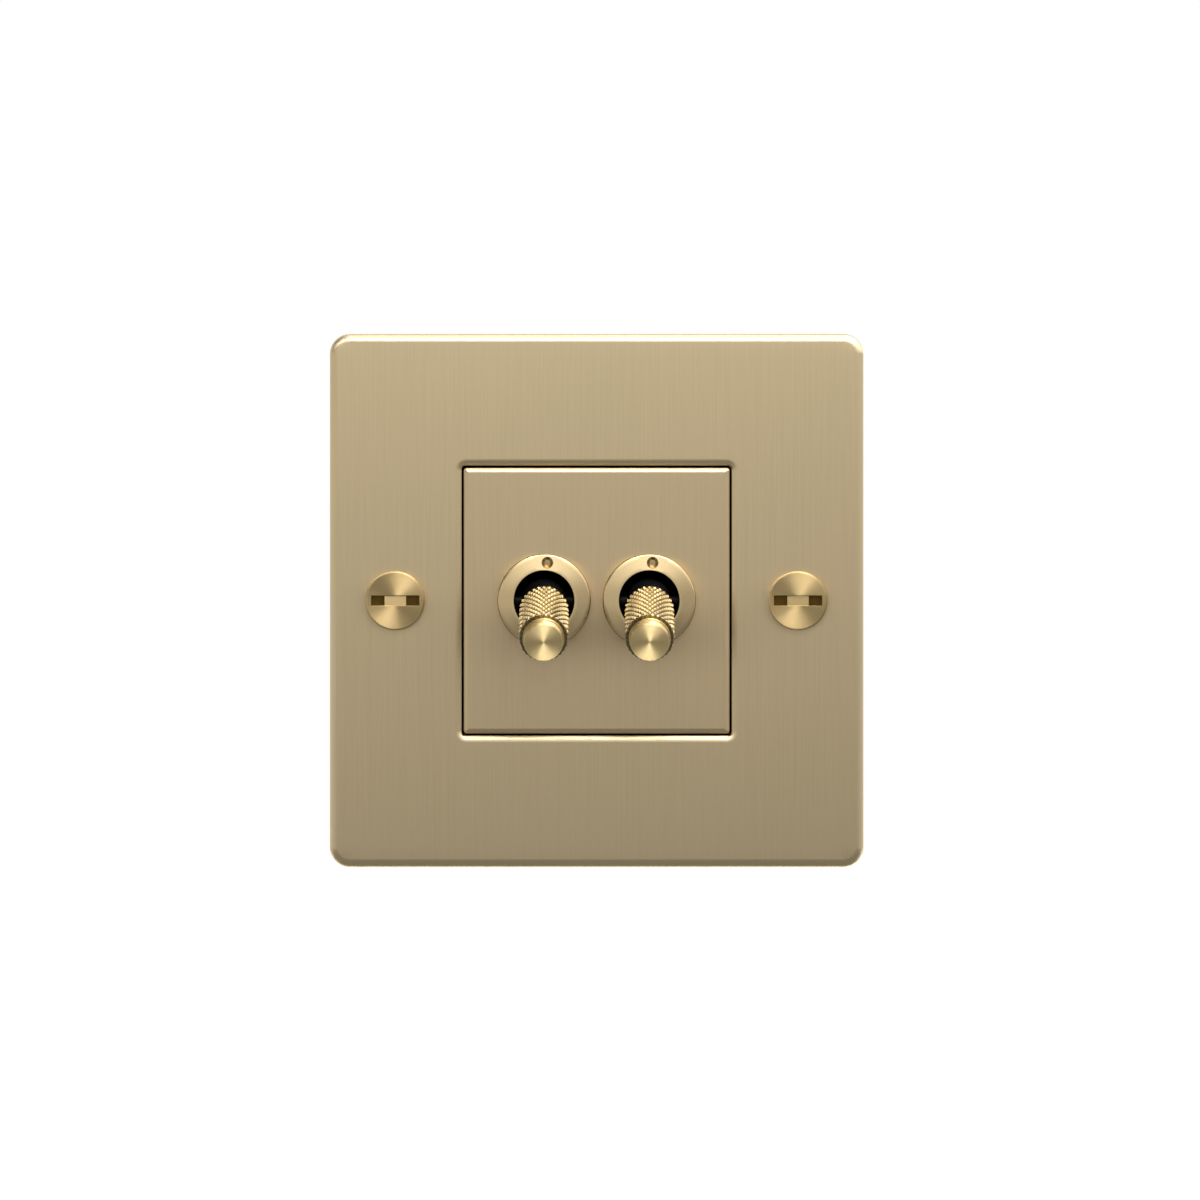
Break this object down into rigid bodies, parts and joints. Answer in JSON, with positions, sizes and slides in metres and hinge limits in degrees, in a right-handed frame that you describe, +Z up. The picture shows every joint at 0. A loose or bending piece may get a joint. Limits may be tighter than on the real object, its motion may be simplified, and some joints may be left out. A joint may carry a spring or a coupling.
{
  "type": "toggle light switch",
  "caption": "Square satin brass wall switch with a flush insert, slotted fixing screws, turned collars and knurled toggle levers that snap up or down.",
  "frame": {"origin": "middle of the two fixing screws, on the wall's surface behind the plate", "axes": "+X to the right seen from the room, +Y into the wall, +Z up; the plate's front looks along -Y"},
  "size_m": [0.08, 0.0475, 0.08],
  "materials": {
    "plate_brass": "satin, vertical grain",
    "insert_brass": "satin, vertical grain",
    "turned_brass": "fine turned",
    "knurled_brass": "diamond knurl",
    "terminal_brass": "bright",
    "contact_silver": "silver alloy",
    "zinc_steel": "zinc plated",
    "black_steel": "black coating",
    "spring_steel": "drawn wire",
    "black_moulding": "moulded"
  },
  "bodies": {
    "switch_body": {"face_plate": "plate_brass", "insert_plate": "insert_brass", "plate_screws": "turned_brass", "mounting_frame": "black_steel", "switch_housing": "black_moulding", "housing_cover": "black_moulding", "housing_screws": "zinc_steel", "terminal_screws": "zinc_steel", "fixed_contacts": "contact_silver", "earth_terminal": "terminal_brass", "earth_screw": "zinc_steel", "left_collar": "turned_brass", "left_bush": "black_moulding", "left_pivot_pin": "black_steel", "left_common_terminal": "terminal_brass", "left_upper_terminal": "terminal_brass", "left_lower_terminal": "terminal_brass", "right_collar": "turned_brass", "right_bush": "black_moulding", "right_pivot_pin": "black_steel", "right_common_terminal": "terminal_brass", "right_upper_terminal": "terminal_brass", "right_lower_terminal": "terminal_brass"},
    "left_toggle": {"left_lever": "black_moulding", "left_grip": "knurled_brass", "left_end_cap": "turned_brass", "left_plunger_spring": "spring_steel"},
    "left_plunger_body": {"left_plunger": "terminal_brass"},
    "left_rocker_body": {"left_rocker": "terminal_brass", "left_rocker_contacts": "contact_silver"},
    "right_toggle": {"right_lever": "black_moulding", "right_grip": "knurled_brass", "right_end_cap": "turned_brass", "right_plunger_spring": "spring_steel"},
    "right_plunger_body": {"right_plunger": "terminal_brass"},
    "right_rocker_body": {"right_rocker": "terminal_brass", "right_rocker_contacts": "contact_silver"}
  },
  "joints": [
    {"name": "left_toggle_throw", "type": "hinge", "parent": "switch_body", "child": "left_toggle", "pos_m": [-0.00788, -0.004, 0], "axis": [-1, 0, 0], "range_deg": [0, 36]},
    {"name": "left_plunger_slide", "type": "slide", "parent": "left_toggle", "child": "left_plunger_body", "axis": [0, 0.9511, 0.309], "range_m": [0, 0.0018], "stiffness_N_per_m": 150, "springref_m": 0.003, "deforming": ["left_plunger_spring"]},
    {"name": "left_rocker_tilt", "type": "hinge", "parent": "switch_body", "child": "left_rocker_body", "pos_m": [-0.00788, 0.0146, 0], "axis": [1, 0, 0], "range_deg": [0, 22]},
    {"name": "right_toggle_throw", "type": "hinge", "parent": "switch_body", "child": "right_toggle", "pos_m": [0.00788, -0.004, 0], "axis": [-1, 0, 0], "range_deg": [0, 36]},
    {"name": "right_plunger_slide", "type": "slide", "parent": "right_toggle", "child": "right_plunger_body", "axis": [0, 0.9511, 0.309], "range_m": [0, 0.0018], "stiffness_N_per_m": 150, "springref_m": 0.003, "deforming": ["right_plunger_spring"]},
    {"name": "right_rocker_tilt", "type": "hinge", "parent": "switch_body", "child": "right_rocker_body", "pos_m": [0.00788, 0.0146, 0], "axis": [1, 0, 0], "range_deg": [0, 22]}
  ],
  "couplings": [
    {"joint": "left_rocker_tilt", "follows": "left_toggle_throw", "ratio": 0.61111},
    {"joint": "right_rocker_tilt", "follows": "right_toggle_throw", "ratio": 0.61111}
  ]
}
